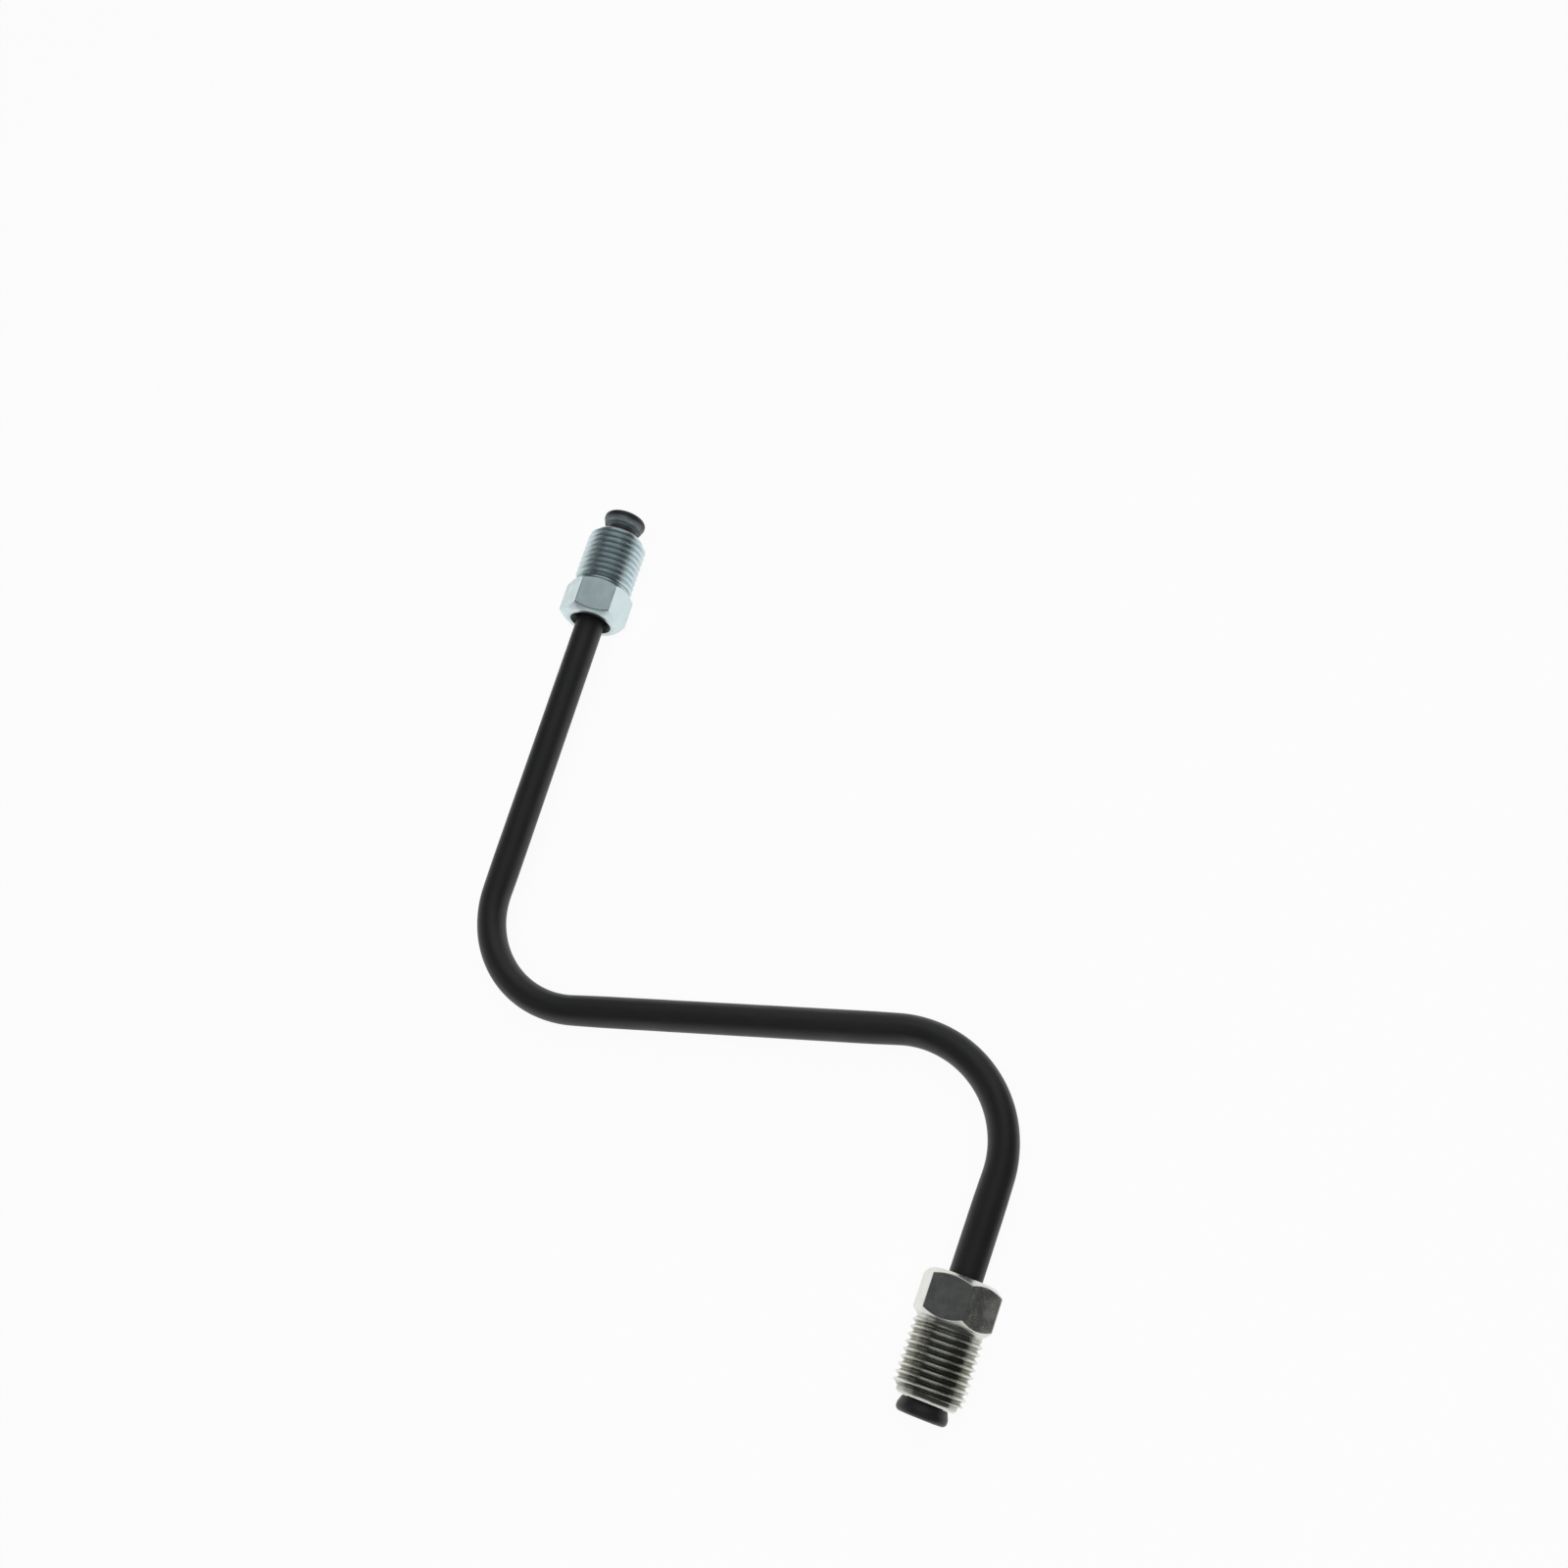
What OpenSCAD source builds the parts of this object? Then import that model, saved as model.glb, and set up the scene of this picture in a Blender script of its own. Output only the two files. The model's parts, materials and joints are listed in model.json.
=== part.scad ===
// A short rigid brake line: a coated steel pipe bent twice into a flat Z.
// Each end carries a bubble flare, and behind it a loose male tube nut.
// Sizes are in millimetres. The line lies on its nuts on the plane z = 0.

/* [Pipe] */
// Outside diameter of the pipe
pipe_d = 4.75; // [4.5:0.05:5]
// Thickness of the pipe's wall
pipe_wall = 0.7; // [0.5:0.05:1]
// Radius of both bends, at the middle of the pipe
bend_r = 16; // [12:0.5:30]
// Straight length between the two bends
middle_len = 50; // [30:0.5:200]
// Straight length from the upper bend to the front of its flare
upper_len = 69.2; // [45:0.1:300]
// Straight length from the lower bend to the front of its flare
lower_len = 33.1; // [30:0.1:300]
// Angle that the upper bend turns through
upper_turn = 99; // [90:0.5:120]
// Angle that the lower bend turns through
lower_turn = 104.5; // [90:0.5:120]

/* [Flare] */
// Largest diameter of the flare
flare_d = 7.1; // [6.8:0.05:7.6]
// Length of the flare, from its back shoulder to its front
flare_len = 2.1; // [1.9:0.05:3]
// Diameter of the flat shoulder that the nut presses on
shoulder_d = 6.3; // [5.8:0.05:6.6]
// Length of the straight band round the flare
flare_band = 0.35; // [0.1:0.05:0.5]
// Radius of the rounded edge between the band and the front
flare_edge_r = 0.65; // [0.4:0.05:1]
// How far the front bulges beyond its rounded edge
flare_dome = 0.08; // [0.05:0.01:0.3]

/* [Tube nut] */
// Diameter of the thread
thread_d = 10; // [9.8:0.1:12]
// Length of the thread
thread_len = 8.85; // [6:0.05:12]
// Size of the bevel at each end of the thread
thread_bevel = 0.3; // [0.1:0.05:0.3]
// Distance across the flats of the hexagon
hex_flats = 10; // [10:0.1:13]
// Length of the hexagon's corners, with the bevel on the pipe side
hex_len = 5.5; // [4:0.1:8]
// Length of the bevel that cuts the corners on the pipe side
hex_bevel = 0.95; // [0.4:0.05:1.4]
// Slope of that bevel, measured from the flat end face
hex_bevel_angle = 35; // [30:1:45]
// Diameter of the neck between the hexagon and the thread
neck_d = 9.15; // [8.8:0.05:9.2]
// Length of the plain part of the neck
neck_len = 0.4; // [0.3:0.05:2]
// Slope of the cone from the corners down to the neck, from the axis
neck_cone_angle = 50; // [40:1:60]
// Diameter of the plain lead in front of the thread
lead_d = 8.4; // [8:0.05:8.6]
// Length of the plain lead
lead_len = 0.95; // [0.8:0.05:2]
// Size of the bevel on the lead's front edge
lead_bevel = 0.4; // [0.1:0.05:0.6]
// Diameter of the countersink where the pipe enters the nut
sink_d = 7; // [6:0.1:7.4]
// Depth of that countersink
sink_depth = 1.2; // [0.4:0.1:3]
// Size of the bevel inside the nut's front edge
mouth_bevel = 0.3; // [0.1:0.05:0.3]

/* [Fit] */
// Gap all round between the pipe and the nut's bore
bore_gap = 0.12; // [0.08:0.01:0.15]
// Gap between the lower nut's front and the shoulder of its flare
lower_slide = 0.05; // [0.05:0.05:5]
// Gap between the upper nut's front and the shoulder of its flare
upper_slide = 1.75; // [0.05:0.05:20]
// Angle by which the lower nut is turned from lying on a flat
lower_spin = 9; // [0:1:60]
// Angle by which the upper nut is turned from lying on a flat
upper_spin = 18; // [0:1:60]

/* [Hidden] */
$fn = 48;
eps = 0.01;
// The bends are this much fatter than the straights, inside and out, and the
// straights run this far into them, so that the two never merely touch.
bend_swell = 0.02;
lap = 0.2;

pipe_r = pipe_d / 2;
pipe_bore_r = pipe_r - pipe_wall;

flare_r = flare_d / 2;
flare_cone_len = flare_len - flare_band - flare_edge_r - flare_dome;

corner_r = hex_flats / 2 / cos(30);
neck_r = neck_d / 2;
thread_r = thread_d / 2;
lead_r = lead_d / 2;
sink_r = sink_d / 2;
nut_bore_r = pipe_r + bore_gap;
hex_face_r = corner_r - hex_bevel / tan(hex_bevel_angle);

// Stations along the nut, counted from its face on the pipe side.
flats_end = hex_len + (corner_r - hex_flats / 2) / tan(neck_cone_angle);
neck_start = hex_len + (corner_r - neck_r) / tan(neck_cone_angle);
thread_start = neck_start + neck_len;
lead_start = thread_start + thread_len;
nut_len = lead_start + lead_len;

// Where each nut's face lies along its leg, counted from the bend.
upper_nut_at = upper_len - flare_len - upper_slide - nut_len;
lower_nut_at = lower_len - flare_len - lower_slide - nut_len;

// Where each leg begins and which way it runs. The middle straight lies
// along X, with its middle at zero until the whole line is centred.
upper_start = [-middle_len / 2 - bend_r * sin(upper_turn), bend_r * (1 - cos(upper_turn))];
lower_start = [middle_len / 2 + bend_r * sin(lower_turn), -bend_r * (1 - cos(lower_turn))];
upper_heading = 180 - upper_turn;
lower_heading = -lower_turn;

// How far a turned hexagon reaches below the axis, or the thread if larger.
function turn_off_flat(spin) = abs((spin + 630) % 60 - 30);
function reach(spin) = max(thread_r, corner_r * cos(30 - turn_off_flat(spin)));
axis_z = max(reach(upper_spin), reach(lower_spin));

// The outline's extremes, which give the point that the line is centred on.
function flare_tip(start, length, lean) = start + max(
    length * cos(lean),
    (length - flare_dome - flare_edge_r) * cos(lean)
        + (flare_r - flare_edge_r) * sin(lean) + flare_edge_r
);
function corner_reach(start, at, spin, lean) = start
    - (at + hex_bevel) * sin(lean)
    + corner_r * cos(turn_off_flat(spin)) * cos(lean);
bend_edge = middle_len / 2 + bend_r + pipe_r + bend_swell;
left_x = -max(bend_edge, corner_reach(-upper_start.x, upper_nut_at, upper_spin, upper_turn - 90));
right_x = max(bend_edge, corner_reach(lower_start.x, lower_nut_at, lower_spin, lower_turn - 90));
top_y = flare_tip(upper_start.y, upper_len, upper_turn - 90);
bottom_y = -flare_tip(-lower_start.y, lower_len, lower_turn - 90);

// Lays what is modelled along +Z onto a leg, at a distance from its bend.
module on_leg(start, heading, at) {
    translate([start.x, start.y, 0])
        rotate([0, 0, heading])
            rotate([0, 90, 0])
                translate([0, 0, at])
                    children();
}

// Centres the line over the origin and lifts it so that it lies on z = 0.
module placed() {
    translate([-(left_x + right_x) / 2, -(top_y + bottom_y) / 2, axis_z])
        children();
}

// A bend as a rod of any radius, turning about the origin and ending on -Y.
module bend_rod(r, turn) {
    rotate([0, 0, -90 - turn])
        rotate_extrude(angle = turn)
            translate([bend_r, 0])
                circle(r = r + bend_swell);
}

// A rod of any radius along the pipe's path, with an amount added to both
// ends. Each straight ends a little way inside its bend.
module rod_on_path(r, added) {
    on_leg(upper_start, upper_heading, -lap)
        cylinder(r = r, h = lap + upper_len + added);
    translate([-middle_len / 2, bend_r, 0])
        bend_rod(r, upper_turn);
    translate([-middle_len / 2 - lap, 0, 0])
        rotate([0, 90, 0])
            cylinder(r = r, h = middle_len + 2 * lap);
    translate([middle_len / 2, -bend_r, 0])
        rotate([0, 0, 180])
            bend_rod(r, lower_turn);
    on_leg(lower_start, lower_heading, -lap)
        cylinder(r = r, h = lap + lower_len + added);
}

// Half of the flare's section: shoulder, cone, band, rounded edge and dome.
module flare_section() {
    round_z = flare_cone_len + flare_band;
    edge_x = flare_r - flare_edge_r;
    polygon([
        [0, 0],
        [shoulder_d / 2, 0],
        [flare_r, flare_cone_len],
        [flare_r, round_z],
        [edge_x, round_z],
        [edge_x, round_z + flare_edge_r],
        [pipe_bore_r, flare_len],
        [0, flare_len]
    ]);
    intersection() {
        translate([edge_x, round_z])
            circle(r = flare_edge_r);
        translate([edge_x, round_z])
            square(flare_edge_r);
    }
}

module flare() {
    rotate_extrude()
        flare_section();
}

module pipe() {
    color("#26282a")
        placed()
            difference() {
                union() {
                    rod_on_path(pipe_r, -flare_len / 2);
                    on_leg(upper_start, upper_heading, upper_len - flare_len)
                        flare();
                    on_leg(lower_start, lower_heading, lower_len - flare_len)
                        flare();
                }
                rod_on_path(pipe_bore_r, eps);
            }
}

// Half of the section of the whole nut as it is turned on a lathe. Round the
// hexagon it stands wider than the corners, so that its bevels trim them.
module turned_section() {
    over = 0.5;
    polygon([
        [0, 0],
        [hex_face_r, 0],
        [corner_r + over, hex_bevel + over * tan(hex_bevel_angle)],
        [corner_r + over, hex_len - over / tan(neck_cone_angle)],
        [neck_r, neck_start],
        [neck_r, thread_start],
        [thread_r - thread_bevel, thread_start],
        [thread_r, thread_start + thread_bevel],
        [thread_r, lead_start - thread_bevel],
        [thread_r - thread_bevel, lead_start],
        [lead_r, lead_start],
        [lead_r, nut_len - lead_bevel],
        [lead_r - lead_bevel, nut_len],
        [0, nut_len]
    ]);
}

// The hexagonal bar that the head keeps, with room for all in front of it.
module hexagon_and_room() {
    room_start = (flats_end + neck_start) / 2;
    rotate([0, 0, 30])
        cylinder(r = corner_r, h = neck_start, $fn = 6);
    translate([0, 0, room_start])
        cylinder(r = corner_r + thread_r, h = nut_len);
}

// Half of the section of the hole that the pipe runs through.
module bore_section() {
    polygon([
        [0, -eps],
        [sink_r, -eps],
        [sink_r, 0],
        [nut_bore_r, sink_depth],
        [nut_bore_r, nut_len - mouth_bevel],
        [nut_bore_r + mouth_bevel, nut_len],
        [nut_bore_r + mouth_bevel, nut_len + eps],
        [0, nut_len + eps]
    ]);
}

// A male tube nut along +Z, with its face on the pipe side at zero and one
// flat facing -X. The helix of the thread is left off this plain shank.
module tube_nut() {
    difference() {
        intersection() {
            rotate_extrude()
                turned_section();
            hexagon_and_room();
        }
        rotate_extrude()
            bore_section();
    }
}

module upper_nut() {
    color("#8fa3a8")
        placed()
            on_leg(upper_start, upper_heading, upper_nut_at)
                rotate([0, 0, upper_spin])
                    tube_nut();
}

module lower_nut() {
    color("#8b8d86")
        placed()
            on_leg(lower_start, lower_heading, lower_nut_at)
                rotate([0, 0, lower_spin])
                    tube_nut();
}

pipe();
upper_nut();
lower_nut();
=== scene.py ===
import json

import bpy
import numpy as np
from mathutils import Matrix, Vector


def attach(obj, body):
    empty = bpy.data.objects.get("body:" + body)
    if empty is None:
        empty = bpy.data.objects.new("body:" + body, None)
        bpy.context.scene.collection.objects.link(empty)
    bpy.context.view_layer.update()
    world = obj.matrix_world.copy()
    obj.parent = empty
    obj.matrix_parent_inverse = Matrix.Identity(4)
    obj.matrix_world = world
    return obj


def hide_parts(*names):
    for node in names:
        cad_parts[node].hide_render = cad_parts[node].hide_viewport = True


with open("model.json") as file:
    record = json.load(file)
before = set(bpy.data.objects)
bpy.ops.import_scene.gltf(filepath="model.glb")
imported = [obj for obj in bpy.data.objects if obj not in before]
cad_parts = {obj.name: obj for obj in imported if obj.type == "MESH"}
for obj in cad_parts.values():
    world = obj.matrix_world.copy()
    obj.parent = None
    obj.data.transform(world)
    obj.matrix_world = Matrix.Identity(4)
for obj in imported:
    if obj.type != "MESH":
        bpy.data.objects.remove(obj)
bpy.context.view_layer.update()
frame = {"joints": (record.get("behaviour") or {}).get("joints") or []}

# ---------------------------------------------------------------- the view
# The line was photographed from in front, above and to the right, with a
# moderate lens. The place and the aim are in the frame of the CAD.
camera_data = bpy.data.cameras.new("camera")
camera_data.lens = 37.485
camera_data.sensor_width = 36
camera_data.clip_start = 0.01
camera = bpy.data.objects.new("camera", camera_data)
bpy.context.scene.collection.objects.link(camera)
aim = Vector((-0.23448, 0.37767, -0.89576)).normalized()
across = aim.cross(Vector((-0.02132, 0.91923, 0.39315))).normalized()
camera.matrix_world = Matrix.Translation((0.06336, -0.07558, 0.23406)) @ Matrix(
    (across, across.cross(aim), -aim)
).transposed().to_4x4()
bpy.context.scene.camera = camera

# ---------------------------------------------------------------- the pipe
# A steel pipe of 4.75 mm, bent cold twice into a flat Z. A die has folded
# each end into a bubble flare. A black satin coat covers all of it outside.

# Sizes in millimetres. The route runs from the upper flare to the lower one.
pipe_r = 2.375
bore_r = 1.675
route_lengths = np.array([69.2, 16 * np.radians(99), 50, 16 * np.radians(104.5), 33.1])
route_headings = np.radians([-99, -99, 0, 0, -104.5, -104.5])
route_start = np.array([-29.9777, 69.5947])
axis_height = 5.647338


def route(s):
    """Centre line and heading at the distances s along the pipe.

    Each stretch turns evenly from one heading to the next. After a length t
    it has moved by t times sin(h) / h, with h half of the angle turned so
    far, in the direction halfway through that angle.
    """
    starts = np.concatenate([[0], np.cumsum(route_lengths)])
    turn_rate = np.diff(route_headings) / route_lengths

    def moved(k, t):
        half = turn_rate[k] * t / 2
        way = route_headings[k] + half
        return (t * np.sinc(half / np.pi))[:, None] * np.stack([np.cos(way), np.sin(way)], 1)

    steps = moved(np.arange(5), route_lengths)
    corners = route_start + np.concatenate([[[0, 0]], np.cumsum(steps, 0)])
    k = np.clip(np.searchsorted(starts, s, "right") - 1, 0, 4)
    t = s - starts[k]
    return corners[k] + moved(k, t), route_headings[k] + turn_rate[k] * t


def rounded_section(corners, cuts, steps=5):
    """A section's corners, each softened by a parabola.

    A corner C gives way to (1-t)^2 A + 2 t (1-t) C + t^2 B, where A and B lie
    on its two sides, as far from it as its cut. corners is (corner, column,
    2), cuts is one length a corner, and the section is a closed loop.
    """
    before = np.roll(corners, 1, 0) - corners
    after = np.roll(corners, -1, 0) - corners
    length_before = np.linalg.norm(before, axis=2, keepdims=True)
    length_after = np.linalg.norm(after, axis=2, keepdims=True)
    cut = np.asarray(cuts, float)[:, None, None]
    a = corners + before / length_before * np.minimum(cut, 0.45 * length_before)
    b = corners + after / length_after * np.minimum(cut, 0.45 * length_after)
    t = np.linspace(0, 1, steps)[None, :, None, None]
    curve = (1 - t) ** 2 * a[:, None] + 2 * t * (1 - t) * corners[:, None] + t**2 * b[:, None]
    return curve.reshape(-1, corners.shape[1], 2)


def ring_surface(name, points, lengthwise, values):
    """A closed skin from a grid of points (row, column, 3) in millimetres.

    Rows join in a loop and so do columns. The UV map runs once round in u,
    and in v by the running length in millimetres. values are numbers for
    each point of the grid, kept as attributes for the materials.
    """
    rows, columns = points.shape[:2]
    i, j = np.meshgrid(np.arange(rows), np.arange(columns), indexing="ij")
    i2, j2 = (i + 1) % rows, (j + 1) % columns
    quads = np.stack([i * columns + j, i * columns + j2, i2 * columns + j2, i2 * columns + j], -1)
    mesh = bpy.data.meshes.new(name)
    mesh.from_pydata((points.reshape(-1, 3) / 1000).tolist(), [], quads.reshape(-1, 4).tolist())
    running = np.append(lengthwise, 2 * lengthwise[-1] - lengthwise[-2])
    u = np.stack([j, j + 1, j + 1, j], -1) / columns
    v = running[np.stack([i, i, i + 1, i + 1], -1)]
    layer = mesh.uv_layers.new(name="UVMap")
    layer.data.foreach_set("uv", np.stack([u, v], -1).ravel().astype(np.float32))
    for key, value in values.items():
        mesh.attributes.new(key, "FLOAT", "POINT").data.foreach_set(
            "value", np.broadcast_to(value, (rows, columns)).ravel().astype(np.float32)
        )
    mesh.shade_smooth()
    piece = bpy.data.objects.new(name, mesh)
    bpy.context.scene.collection.objects.link(piece)
    return piece


# The flare's section from the bore round the front to the pipe: distance
# from its front, radius, and how far each corner is cut.
flare_corners = np.array(
    [
        [0.00, bore_r, 0.22],
        [0.09, 3.16, 0.26],
        [0.47, 3.54, 0.26],
        [1.08, 3.54, 0.15],
        [2.10, 3.15, 0.14],
        [2.10, pipe_r, 0.22],
    ]
)
flare_curve = rounded_section(
    np.concatenate([flare_corners[:, None, :2], [[[8, pipe_r]], [[8, bore_r]]]]),
    [*flare_corners[:, 2], 0.1, 0.1],
)[: 5 * len(flare_corners), 0]
total = route_lengths.sum()
bends = np.cumsum(route_lengths)
inner_stops = np.concatenate(
    [
        np.linspace(3, bends[0] - 1, 30),
        np.linspace(bends[0], bends[1], 66),
        np.linspace(bends[1] + 1, bends[2] - 1, 20),
        np.linspace(bends[2], bends[3], 69),
        np.linspace(bends[3] + 1, total - 3, 14),
    ]
)
outer = np.stack([inner_stops, np.full(len(inner_stops), pipe_r)], 1)
inner = np.stack([inner_stops[::-1], np.full(len(inner_stops), bore_r)], 1)
lower_flare = np.stack([total - flare_curve[::-1, 0], flare_curve[::-1, 1]], 1)
skin = np.concatenate([flare_curve, outer, lower_flare, inner])

stations, radii = skin[:, 0], skin[:, 1]
centre, heading = route(stations)
angle = np.linspace(0, 2 * np.pi, 72, endpoint=False)
# Bending flattens a pipe a little: it is 6% narrower in the plane of a bend.
ramp = 11.0
in_bend = sum(
    np.clip((stations - start) / ramp + 0.5, 0, 1) * np.clip((end - stations) / ramp + 0.5, 0, 1)
    for start, end in ((bends[0], bends[1]), (bends[2], bends[3]))
)
in_bend = in_bend**2 * (3 - 2 * in_bend)
sideways = (radii * (1 - 0.06 * in_bend))[:, None] * np.cos(angle)
upward = (radii * (1 + 0.012 * in_bend))[:, None] * np.sin(angle)
pipe_points = np.stack(
    [
        centre[:, :1] - np.sin(heading)[:, None] * sideways,
        centre[:, 1:] + np.cos(heading)[:, None] * sideways,
        axis_height + upward,
    ],
    -1,
)
skin_length = np.concatenate([[0], np.cumsum(np.hypot(*np.diff(skin, axis=0).T))])
inside = np.concatenate([np.zeros(len(skin) - len(inner)), np.ones(len(inner))])
inside[0] = 1
# How near each ring is to a flare's rounded front edge, which the coat's colour makes a little paler in patches.
from_end = np.minimum(stations, total - stations)
pale_rim = np.exp(-(((from_end - 0.45) / 0.35) ** 2)) * (1 - inside)
# Where the upper nut has slid back, its flare's back is painted a pale grey-teal in patches, a painted
# reflection on the black coat.
pale_mark = np.exp(-(((stations - 1.75) / 0.5) ** 4)) * (1 - inside)
pipe_piece = ring_surface(
    "brake_pipe",
    pipe_points,
    skin_length,
    {"inside": inside[:, None], "pale_rim": pale_rim[:, None], "pale_mark": pale_mark[:, None]},
)


def new_group(name, inputs, outputs):
    """An empty node group with named sockets: {name: (type, default)}."""
    group = bpy.data.node_groups.new(name, "ShaderNodeTree")
    for key, (kind, default) in inputs.items():
        socket = group.interface.new_socket(key, in_out="INPUT", socket_type=kind)
        socket.default_value = default
    for key, kind in outputs.items():
        group.interface.new_socket(key, in_out="OUTPUT", socket_type=kind)
    return group, group.nodes.new("NodeGroupInput"), group.nodes.new("NodeGroupOutput")


def add(tree, kind, settings=None, **links):
    """A node with its settings and inputs. An input is a value or a socket."""
    node = tree.nodes.new(kind)
    for key, value in (settings or {}).items():
        setattr(node, key, value)
    for key, value in links.items():
        name = key.replace("_", " ")
        socket = node.inputs[int(name[1:])] if name[0] == "n" and name[1:].isdigit() else node.inputs[name]
        if isinstance(value, bpy.types.NodeSocket):
            tree.links.new(value, socket)
        else:
            socket.default_value = value
    return node


def mottle_group():
    """Soft patches: two sizes of noise, spread between a low and a high value."""
    group, given, result = new_group(
        "mottle",
        {
            "Patches per metre": ("NodeSocketFloat", 300.0),
            "Low": ("NodeSocketFloat", 0.0),
            "High": ("NodeSocketFloat", 1.0),
        },
        {"Value": "NodeSocketFloat"},
    )
    place = add(group, "ShaderNodeTexCoord")
    noise = add(
        group,
        "ShaderNodeTexNoise",
        Vector=place.outputs["Object"],
        Scale=given.outputs["Patches per metre"],
        Detail=3.0,
        Roughness=0.6,
    )
    spread = add(
        group,
        "ShaderNodeMapRange",
        {"interpolation_type": "SMOOTHSTEP"},
        Value=noise.outputs["Fac"],
        From_Min=0.3,
        From_Max=0.7,
        To_Min=given.outputs["Low"],
        To_Max=given.outputs["High"],
    )
    group.links.new(spread.outputs["Result"], result.inputs["Value"])
    return group


mottle = mottle_group()


def new_material(name):
    """A material with an empty tree, its shader and its output."""
    material = bpy.data.materials.new(name)
    material.use_nodes = True
    tree = material.node_tree
    tree.nodes.clear()
    shader = tree.nodes.new("ShaderNodeBsdfPrincipled")
    output = tree.nodes.new("ShaderNodeOutputMaterial")
    tree.links.new(shader.outputs["BSDF"], output.inputs["Surface"])
    return material, tree, shader


def patches(tree, size, low, high):
    """The mottle group, placed in a material with its own values."""
    node = tree.nodes.new("ShaderNodeGroup")
    node.node_tree = mottle
    node.inputs["Patches per metre"].default_value = size
    node.inputs["Low"].default_value = low
    node.inputs["High"].default_value = high
    return node.outputs["Value"]


coat, tree, shader = new_material("black satin coat")
tint = add(
    tree,
    "ShaderNodeMix",
    {"data_type": "RGBA"},
    Factor=patches(tree, 60.0, 0.0, 1.0),
    n6=(0.0145, 0.0145, 0.0148, 1),
    n7=(0.0180, 0.0170, 0.0165, 1),
)
# A paler band in patches round each flare's rounded front edge.
pale_edge = add(tree, "ShaderNodeAttribute", {"attribute_name": "pale_rim"})
pale_rim_patches = add(
    tree, "ShaderNodeMath", {"operation": "MULTIPLY"}, n0=pale_edge.outputs["Fac"], n1=patches(tree, 1600.0, 0.0, 0.5)
)
pale_rim_tint = add(
    tree,
    "ShaderNodeMix",
    {"data_type": "RGBA"},
    Factor=pale_rim_patches.outputs[0],
    n6=tint.outputs[2],
    n7=(0.035, 0.036, 0.038, 1),
)
# Painted reflection: the upper flare's back turns pale grey-teal in patches.
pale_mark = add(tree, "ShaderNodeAttribute", {"attribute_name": "pale_mark"})
reflection_patches = add(
    tree, "ShaderNodeMath", {"operation": "MULTIPLY"}, n0=pale_mark.outputs["Fac"], n1=patches(tree, 700.0, 0.55, 1.0)
)
reflection_tint = add(
    tree,
    "ShaderNodeMix",
    {"data_type": "RGBA"},
    Factor=reflection_patches.outputs[0],
    n6=pale_rim_tint.outputs[2],
    n7=(0.30, 0.36, 0.38, 1),
)
hollow = add(tree, "ShaderNodeAttribute", {"attribute_name": "inside"})
colour = add(
    tree,
    "ShaderNodeMix",
    {"data_type": "RGBA"},
    Factor=hollow.outputs["Fac"],
    n6=reflection_tint.outputs[2],
    n7=(0.05, 0.048, 0.045, 1),
)
tree.links.new(colour.outputs[2], shader.inputs["Base Color"])
tree.links.new(patches(tree, 240.0, 0.42, 0.50), shader.inputs["Roughness"])
peel = add(
    tree,
    "ShaderNodeTexNoise",
    Vector=add(tree, "ShaderNodeTexCoord").outputs["Object"],
    Scale=900.0,
    Detail=2.0,
    Roughness=0.5,
)
relief = add(tree, "ShaderNodeBump", Strength=0.25, Distance=0.00003, Height=peel.outputs["Fac"])
tree.links.new(relief.outputs["Normal"], shader.inputs["Normal"])
pipe_piece.data.materials.append(coat)
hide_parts("pipe")
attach(pipe_piece, "line")

# ---------------------------------------------------------------- the nuts
# Two loose male tube nuts, M10 x 1 on a 10 mm hexagon. Each is turned from
# drawn hexagonal bar, threaded with a die, and zinc plated and passivated.

# Sizes in millimetres, with stations counted from the face on the pipe side.
flats = 5.0
corner = flats / np.cos(np.radians(30))
face_r = 4.417
bevel_slope = np.tan(np.radians(35))
hex_end = 5.5
cone_slope = np.tan(np.radians(50))
neck_r, neck_start, thread_start = 4.575, 6.5057, 6.9057
thread_r, thread_end, thread_bevel = 5.0, 15.7557, 0.3
lead_r, nut_end, lead_bevel = 4.2, 16.7057, 0.4
nut_bore, sink_r, sink_depth, mouth_bevel = 2.495, 3.5, 1.2, 0.3
thread_middle = (thread_start + thread_end) / 2


def softer_min(a, b, width):
    """The lower of a and b, blended by a parabola where they are close."""
    return np.minimum(a, b) - np.maximum(width - np.abs(a - b), 0) ** 2 / (4 * width)


def hexagon_radius(angle):
    """Distance from the axis to a hexagon whose flats face 0, 60, 120...

    Each flat stands at flats / cos(angle from its middle). The two nearest
    ones are joined by a power mean, which rounds the corner by 0.2 mm.
    """
    near = np.abs((np.degrees(angle) + 30) % 60 - 30)
    one = flats / np.cos(np.radians(near))
    other = flats / np.cos(np.radians(60 - near))
    return (one**-120 + other**-120) ** (-1 / 120)


def thread_depth(z, angle):
    """Depth below the crest of a right-hand thread with a 1 mm pitch.

    The crest winds on by one pitch a turn. The depth is the distance from
    the nearest crest's flat times tan(60), never above 0.613 mm, and both
    the crest's edges and the root are rounded.
    """
    turns = z - angle / (2 * np.pi)
    from_crest = np.abs(turns - np.round(turns))
    flank = (from_crest - 0.0625) * np.tan(np.radians(60))
    flank = -softer_min(-flank, 0, 0.09)
    limit = 0.425 + 0.188 * np.clip((z - thread_start) / 1.0, 0, 1)
    return softer_min(flank, limit, 0.16)


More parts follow.
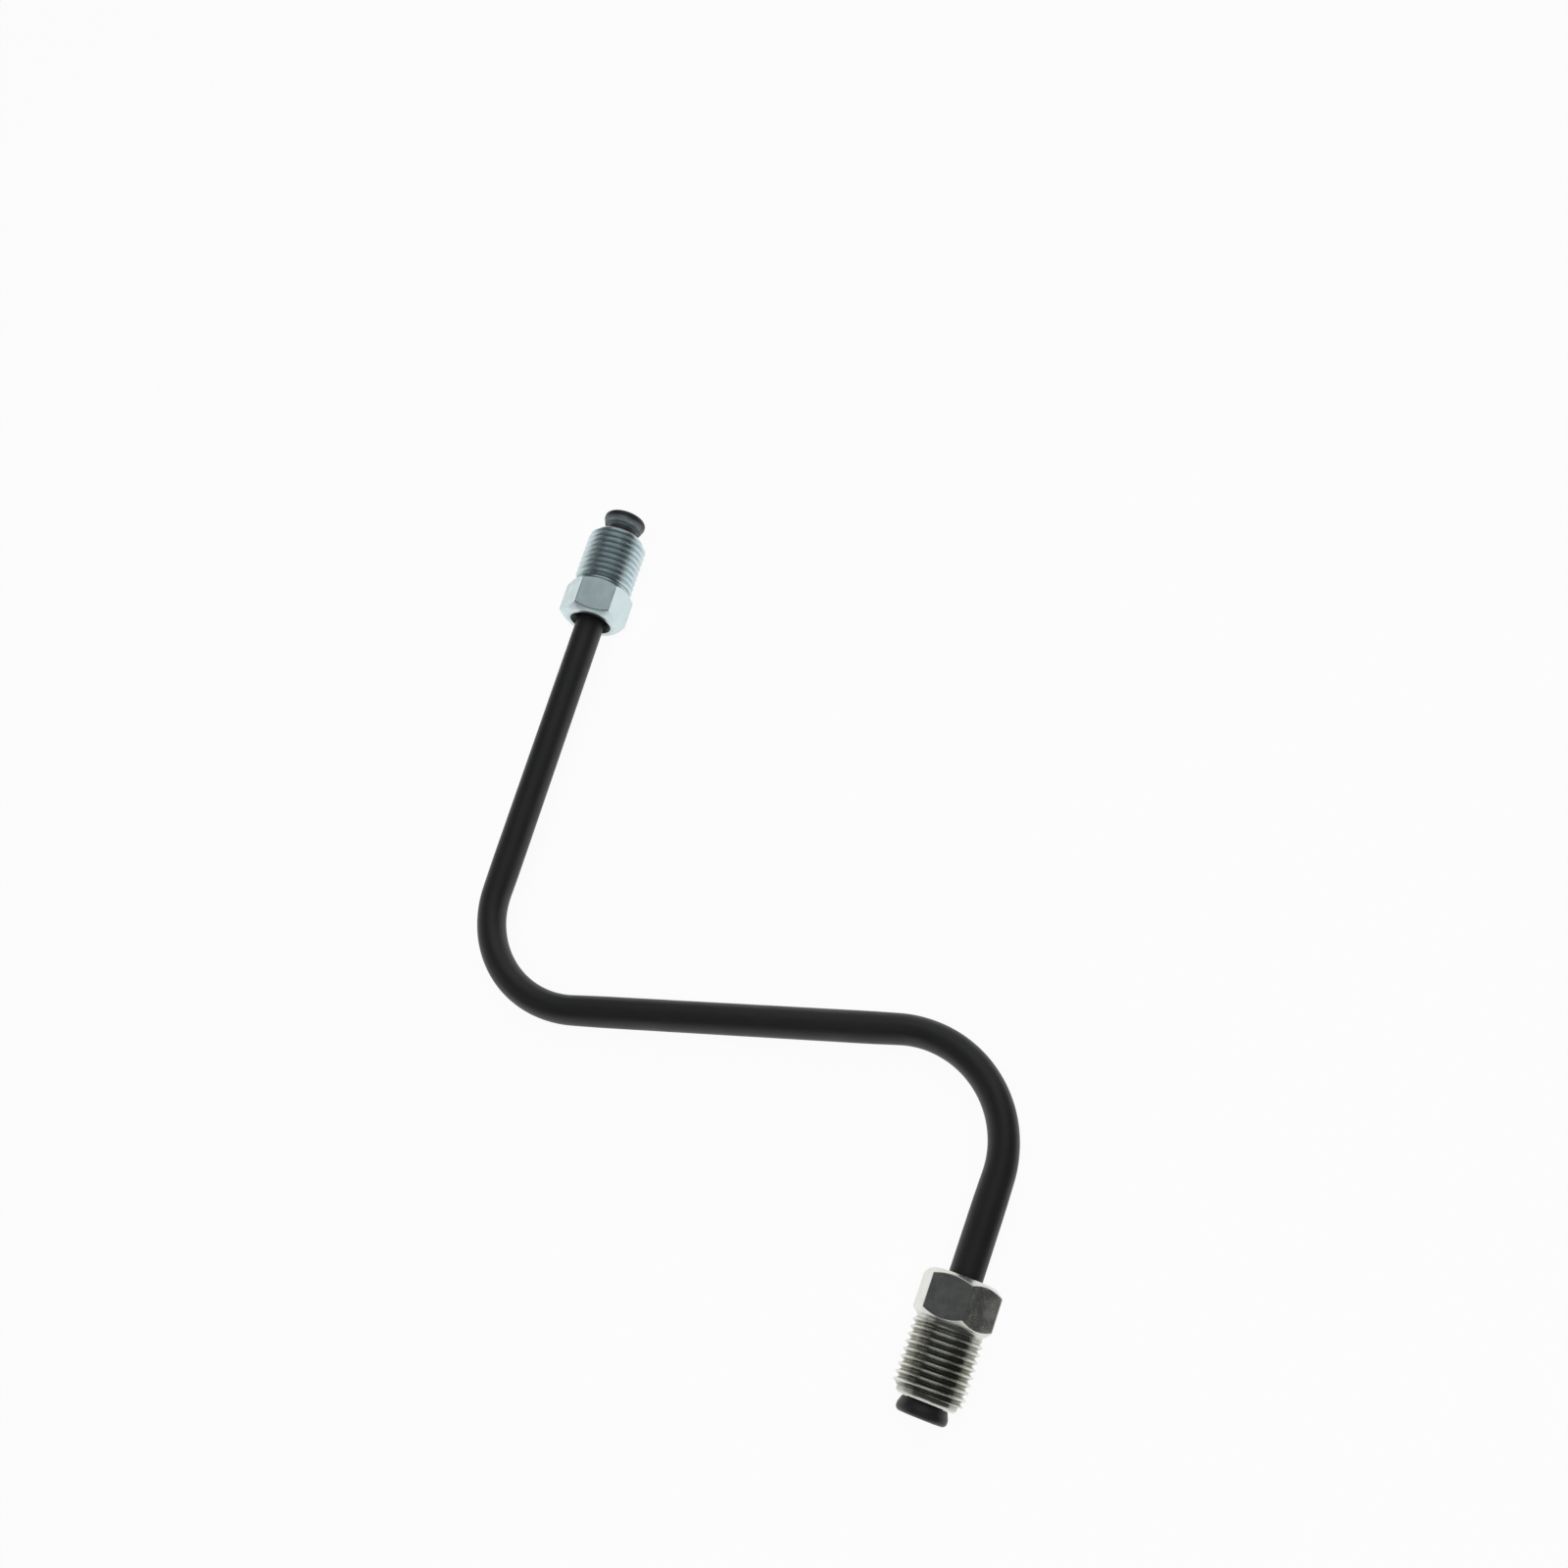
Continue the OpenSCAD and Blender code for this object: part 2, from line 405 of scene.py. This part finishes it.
def nut_section(angle):
    """The whole nut as rows of (station, radius) for each angle.

    A lathe section, with the hexagon between its two bevels. A bevel meets
    a flat where its cone reaches the flat's distance from the axis.
    """
    ones = np.ones_like(angle)
    across_hex = hexagon_radius(angle)
    bevel_end = (across_hex - face_r) * bevel_slope
    cone_start = hex_end + (corner - across_hex) / cone_slope

    def point(z, r):
        return np.stack([z * ones, r * ones], -1)

    head = rounded_section(
        np.stack(
            [
                point(sink_depth, nut_bore),
                point(0, sink_r),
                point(0, face_r),
                point(bevel_end, across_hex),
                point(cone_start, across_hex),
                point(neck_start, neck_r),
                point(thread_start, neck_r),
                point(thread_start + 1, neck_r),
            ]
        ),
        [0.1, 0.08, 0.12, 0.10, 0.09, 0.15, 0.1, 0.1],
    )[:35]
    # Rows a little inside the flats keep the light on them flat.
    body = head[19] + np.linspace(0.02, 0.98, 7)[:, None, None] * (head[20] - head[19])
    head = np.concatenate([head[:20], body, head[20:]])
    z = np.linspace(thread_start, thread_end, 214)[:, None]
    crest = thread_r - np.maximum(thread_bevel - (z - thread_start), 0)
    crest = crest - np.maximum(thread_bevel - (thread_end - z), 0)
    depth = thread_depth(z, angle[None, :])
    cut = np.minimum(crest, thread_r - depth)
    thread = np.stack([np.broadcast_to(z, cut.shape), cut], -1)
    tail = rounded_section(
        np.stack(
            [
                point(thread_end - 1, lead_r),
                point(thread_end, lead_r),
                point(nut_end - lead_bevel, lead_r),
                point(nut_end, lead_r - lead_bevel),
                point(nut_end, nut_bore + mouth_bevel),
                point(nut_end - mouth_bevel, nut_bore),
                point(sink_depth, nut_bore),
                point(sink_depth, nut_bore + 1),
            ]
        ),
        [0.1, 0.12, 0.1, 0.08, 0.06, 0.08, 0.1, 0.1],
    )[5:30]
    # The grooves, the neck, the lead and the bore are darkened: partly oil and dirt, partly painted shade.
    head_dirt_and_shade = np.repeat([1, 0.9, 0, 0, 0, 0.15, 0.6], 5)
    head_dirt_and_shade = np.concatenate([head_dirt_and_shade[:20], np.zeros(7), head_dirt_and_shade[20:]])
    tail_dirt_and_shade = np.repeat([0.8, 0.5, 0, 0, 1], 5)
    groove = np.concatenate(
        [
            np.broadcast_to(head_dirt_and_shade[:, None], head.shape[:2]),
            np.clip(depth / 0.613, 0, 1),
            np.broadcast_to(tail_dirt_and_shade[:, None], tail.shape[:2]),
        ]
    )
    flat_rows = np.zeros(len(head) + len(thread) + len(tail))
    flat_rows[17:30] = 1
    return np.concatenate([head, thread, tail]), groove, flat_rows


def tube_nut(name, joint_name, spin):
    """A nut round its joint's axis, with a flat turned from the top by spin.

    A point at station z, radius r and angle a lies at the pipe-side face
    plus z along the axis, r cos(a) up and r sin(a) to the side.
    """
    joint = next(j for j in frame["joints"] if j["name"] == joint_name)
    along = np.array(joint["axis"])
    side = np.array([along[1], -along[0], 0])
    start = np.array(joint["pos_m"]) * 1000 - along * thread_middle
    # Columns gather at the corners of the hexagon.
    sector = np.radians(30) * np.sin(np.linspace(-1, 1, 24, endpoint=False) * np.pi / 2)
    angle = (np.radians(np.arange(6) * 60)[:, None] + sector).ravel()
    section, groove, flat_rows = nut_section(angle)
    z, r = section[..., 0], section[..., 1]
    turned = angle + np.radians(spin)
    points = (
        start
        + z[..., None] * along
        + (r * np.cos(turned))[..., None] * np.array([0, 0, 1])
        + (r * np.sin(turned))[..., None] * side
    )
    steps = np.hypot(*np.moveaxis(np.diff(section[:, 12], axis=0), -1, 0))
    length = np.concatenate([[0], np.cumsum(steps)])
    # Tool marks run round the turned faces and along the drawn flats.
    across_flat = flats * np.tan((angle + np.radians(30)) % np.radians(60) - np.radians(30))
    face = np.floor((angle + np.radians(30)) / np.radians(60))
    on_flat = flat_rows[:, None]
    grain = length[:, None] * (1 - on_flat) + (across_flat + 9 * face)[None, :] * on_flat
    # The bore and its countersink are painted near black, a painted shade inside the hole.
    hollow = np.zeros(len(section))
    hollow[:8] = 1
    hollow[-4:] = 1
    # Edges painted brighter: on the hexagon's corners partly rubbed plating and partly a painted highlight, on
    # the thread's crests a painted highlight.
    to_corner = np.abs(across_flat) - flats * np.tan(np.radians(30))
    edge = np.exp(-((to_corner / 0.16) ** 2))[None, :] * on_flat
    edge = np.maximum(edge, np.exp(-(((groove) / 0.10) ** 2)) * (z > thread_start) * (z < thread_end))
    return ring_surface(
        name, points, length, {"groove": groove, "grain": grain, "edge": edge, "hollow": hollow[:, None]}
    )


def tool_marks_group():
    """Fine parallel lines: a noise along one number, kept on the surface."""
    group, given, result = new_group(
        "tool marks",
        {"Lines per millimetre": ("NodeSocketFloat", 12.0), "Strength": ("NodeSocketFloat", 1.0)},
        {"Height": "NodeSocketFloat"},
    )
    grain = add(group, "ShaderNodeAttribute", {"attribute_name": "grain"})
    scaled = add(
        group,
        "ShaderNodeMath",
        {"operation": "MULTIPLY"},
        n0=grain.outputs["Fac"],
        n1=given.outputs["Lines per millimetre"],
    )
    lines = add(
        group, "ShaderNodeTexNoise", {"noise_dimensions": "1D"}, W=scaled.outputs[0], Scale=1.0, Detail=2.0
    )
    height = add(
        group,
        "ShaderNodeMath",
        {"operation": "MULTIPLY"},
        n0=lines.outputs["Fac"],
        n1=given.outputs["Strength"],
    )
    group.links.new(height.outputs[0], result.inputs["Height"])
    return group


tool_marks = tool_marks_group()


def zinc(name, clean, tinted, grime_and_shade, pale_edge, low_gloss, high_gloss):
    """Zinc plate: a metal tinted in patches, brighter on its edges with rubbed plating and a painted highlight,
    darker in its grooves with oil and painted shade, and near black in its bore as painted shade.
    """
    material, tree, shader = new_material(name)
    base = add(
        tree,
        "ShaderNodeMix",
        {"data_type": "RGBA"},
        Factor=patches(tree, 420.0, 0.0, 1.0),
        n6=(*clean, 1),
        n7=(*tinted, 1),
    )
    # Darker grooves, neck and lead: partly oil and dirt, partly painted shade.
    groove = add(tree, "ShaderNodeAttribute", {"attribute_name": "groove"})
    dirt_and_shade = add(
        tree,
        "ShaderNodeMath",
        {"operation": "MULTIPLY"},
        n0=groove.outputs["Fac"],
        n1=patches(tree, 260.0, 0.6, 0.9),
    )
    dirty_and_shaded = add(
        tree,
        "ShaderNodeMix",
        {"data_type": "RGBA"},
        Factor=dirt_and_shade.outputs[0],
        n6=base.outputs[2],
        n7=(*grime_and_shade, 1),
    )
    # Brighter edges: partly rubbed plating, partly a painted highlight.
    edge = add(tree, "ShaderNodeAttribute", {"attribute_name": "edge"})
    pale_mark = add(
        tree,
        "ShaderNodeMath",
        {"operation": "MULTIPLY"},
        n0=edge.outputs["Fac"],
        n1=patches(tree, 420.0, 0.5 * pale_edge, pale_edge),
    )
    colour = add(
        tree,
        "ShaderNodeMix",
        {"data_type": "RGBA"},
        Factor=pale_mark.outputs[0],
        n6=dirty_and_shaded.outputs[2],
        n7=(0.82, 0.83, 0.82, 1),
    )
    # Painted shade: the bore and the countersink turn near black.
    hollow = add(tree, "ShaderNodeAttribute", {"attribute_name": "hollow"})
    colour = add(
        tree,
        "ShaderNodeMix",
        {"data_type": "RGBA"},
        Factor=hollow.outputs["Fac"],
        n6=colour.outputs[2],
        n7=(0.02, 0.02, 0.02, 1),
    )
    tree.links.new(colour.outputs[2], shader.inputs["Base Color"])
    tree.links.new(patches(tree, 700.0, low_gloss, high_gloss), shader.inputs["Roughness"])
    shader.inputs["Metallic"].default_value = 1.0
    marks = tree.nodes.new("ShaderNodeGroup")
    marks.node_tree = tool_marks
    marks.inputs["Lines per millimetre"].default_value = 14.0
    marks.inputs["Strength"].default_value = 1.0
    relief = add(
        tree, "ShaderNodeBump", Strength=0.15, Distance=0.000004, Height=marks.outputs["Height"]
    )
    tree.links.new(relief.outputs["Normal"], shader.inputs["Normal"])
    return material


# Both nuts carry the same plating. The upper nut's copy is painted bluer, with far lighter grooves, a painted
# cast of the light on that nut.
upper_nut = tube_nut("upper_tube_nut", "upper_nut_turn", 18)
upper_nut.data.materials.append(
    zinc("zinc plate, clear, painted bluish cast", (0.64, 0.76, 0.79), (0.69, 0.79, 0.80), (0.46, 0.55, 0.58), 0.15, 0.30, 0.40)
)
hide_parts("upper_nut")
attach(upper_nut, "upper_tube_nut")

lower_nut = tube_nut("lower_tube_nut", "lower_nut_turn", 9)
lower_nut.data.materials.append(
    zinc("zinc plate, clear", (0.74, 0.74, 0.71), (0.70, 0.70, 0.64), (0.17, 0.17, 0.12), 0.5, 0.22, 0.32)
)
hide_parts("lower_nut")
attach(lower_nut, "lower_tube_nut")

# ---------------------------------------------------------------- the stage
# White paper under and behind the line, and soft light from above. The paper keeps a faint shadow. Metal shows
# it as white near the line, and from x = 55 mm to x = 80 mm it fades to dark in reflections only, a painted dark
# surround.
floor_mesh = bpy.data.meshes.new("floor")
floor_mesh.from_pydata([(-4, -4, 0), (4, -4, 0), (4, 4, 0), (-4, 4, 0)], [], [(0, 1, 2, 3)])
floor = bpy.data.objects.new("floor", floor_mesh)
bpy.context.scene.collection.objects.link(floor)
paper = bpy.data.materials.new("white paper")
paper.use_nodes = True
tree = paper.node_tree
tree.nodes.clear()
ray = tree.nodes.new("ShaderNodeLightPath")
matt = add(tree, "ShaderNodeBsdfDiffuse", Color=(0.9, 0.9, 0.9, 1))
glow = add(tree, "ShaderNodeEmission", Color=(1, 1, 1, 1), Strength=1.0)
place = add(tree, "ShaderNodeTexCoord")
across = add(tree, "ShaderNodeSeparateXYZ", Vector=place.outputs["Object"])
# Painted reflection: to glossy rays the paper fades from white to dark past x = 55 mm.
reflected_paper_fade = add(
    tree,
    "ShaderNodeMapRange",
    {"interpolation_type": "SMOOTHSTEP"},
    Value=across.outputs["X"],
    From_Min=0.055,
    From_Max=0.08,
    To_Min=1.0,
    To_Max=0.03,
)
mirrored = add(tree, "ShaderNodeEmission", Color=(1, 1, 1, 1), Strength=reflected_paper_fade.outputs["Result"])
seen = add(tree, "ShaderNodeMath", {"operation": "MULTIPLY"}, n0=ray.outputs["Is Camera Ray"], n1=0.94)
lit = add(tree, "ShaderNodeMixShader", n0=seen.outputs[0], n1=matt.outputs[0], n2=glow.outputs[0])
mixed = add(
    tree,
    "ShaderNodeMixShader",
    n0=ray.outputs["Is Glossy Ray"],
    n1=lit.outputs[0],
    n2=mirrored.outputs[0],
)
output = tree.nodes.new("ShaderNodeOutputMaterial")
tree.links.new(mixed.outputs[0], output.inputs["Surface"])
floor_mesh.materials.append(paper)

world = bpy.data.worlds.new("studio")
bpy.context.scene.world = world
world.use_nodes = True
tree = world.node_tree
tree.nodes.clear()
ray = tree.nodes.new("ShaderNodeLightPath")
dim = add(tree, "ShaderNodeBackground", Color=(0.9, 0.95, 1.0, 1), Strength=0.075)
white = add(tree, "ShaderNodeBackground", Color=(1, 1, 1, 1), Strength=0.98)
mixed = add(
    tree,
    "ShaderNodeMixShader",
    n0=ray.outputs["Is Camera Ray"],
    n1=dim.outputs[0],
    n2=white.outputs[0],
)
output = tree.nodes.new("ShaderNodeOutputWorld")
tree.links.new(mixed.outputs[0], output.inputs["Surface"])


def soft_box(name, place, target, size, radiance, colour):
    """A square lamp aimed at a point, of an even brightness over its face."""
    light = bpy.data.lights.new(name, "AREA")
    light.shape = "SQUARE"
    light.size = size
    light.energy = radiance * np.pi * size * size
    light.color = colour
    lamp = bpy.data.objects.new(name, light)
    lamp.matrix_world = Matrix.Translation(place) @ (
        (Vector(target) - Vector(place)).to_track_quat("-Z", "Y").to_matrix().to_4x4()
    )
    bpy.context.scene.collection.objects.link(lamp)
    lamp.visible_camera = False
    return lamp


soft_box("key", (0.25, 0.85, 0.72), (0, 0.03, 0), 1.3, 0.58, (0.93, 0.98, 1.0))
soft_box("left", (-0.85, 0.0, 0.28), (0, 0, 0), 0.8, 0.4, (1.0, 1.0, 0.97))
soft_box("front", (-0.25, -0.9, 0.12), (0, 0, 0), 0.5, 0.8, (1.0, 1.0, 0.96))
fill = soft_box("fill", (0.1, -0.1, 0.7), (0, 0, 0), 0.6, 2.2, (1.0, 1.0, 1.0))
fill.visible_glossy = False

bpy.context.scene.view_settings.view_transform = "Standard"
